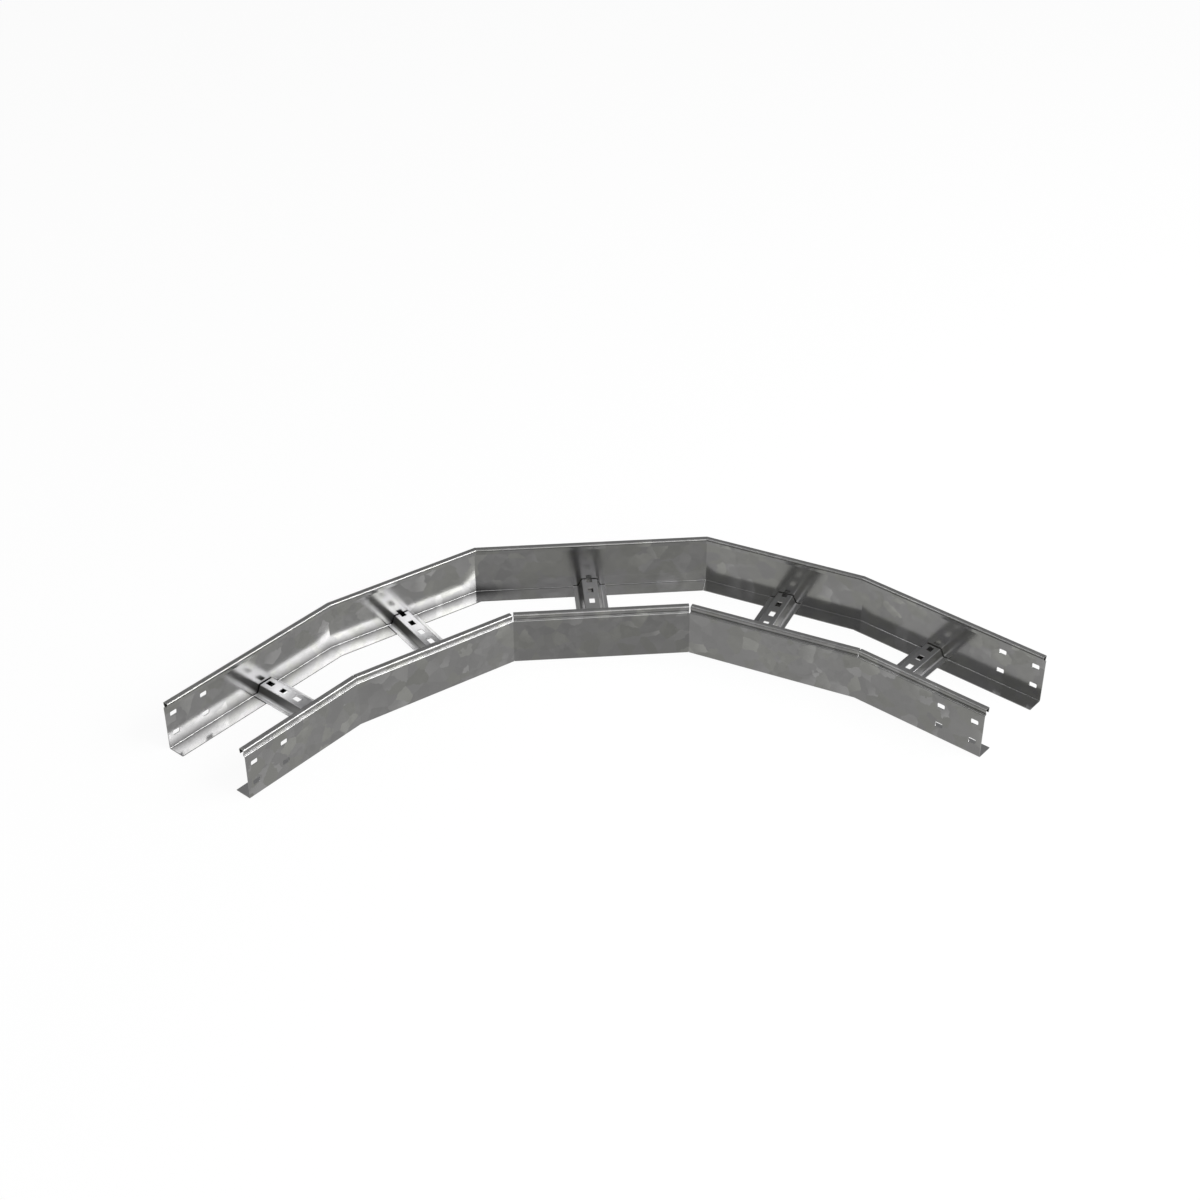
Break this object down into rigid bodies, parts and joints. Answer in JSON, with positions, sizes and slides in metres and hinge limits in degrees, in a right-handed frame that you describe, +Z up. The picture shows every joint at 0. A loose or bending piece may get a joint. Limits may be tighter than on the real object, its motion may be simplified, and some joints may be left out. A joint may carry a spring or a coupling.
{
  "type": "cable ladder bend",
  "caption": "Faceted right-angle horizontal bend of a cable ladder: capped side rails folded at kinks, hat-section slotted rungs between them, joint slots at the rail ends.",
  "frame": {"origin": "middle of the plan's box, in the plane of the rails' underside", "axes": "+X along the leg that ends at +X, -Y along the other leg, +Z up out of the tray"},
  "size_m": [1.046, 1.046, 0.1],
  "materials": {
    "rail_zinc": "galvanised, satin, with a faint spangle",
    "rung_zinc": "galvanised, satin"
  },
  "bodies": {
    "root": {"outer_rail": "rail_zinc", "inner_rail": "rail_zinc", "rung_1": "rung_zinc", "rung_2": "rung_zinc", "rung_3": "rung_zinc", "rung_4": "rung_zinc", "rung_5": "rung_zinc"}
  },
  "joints": []
}
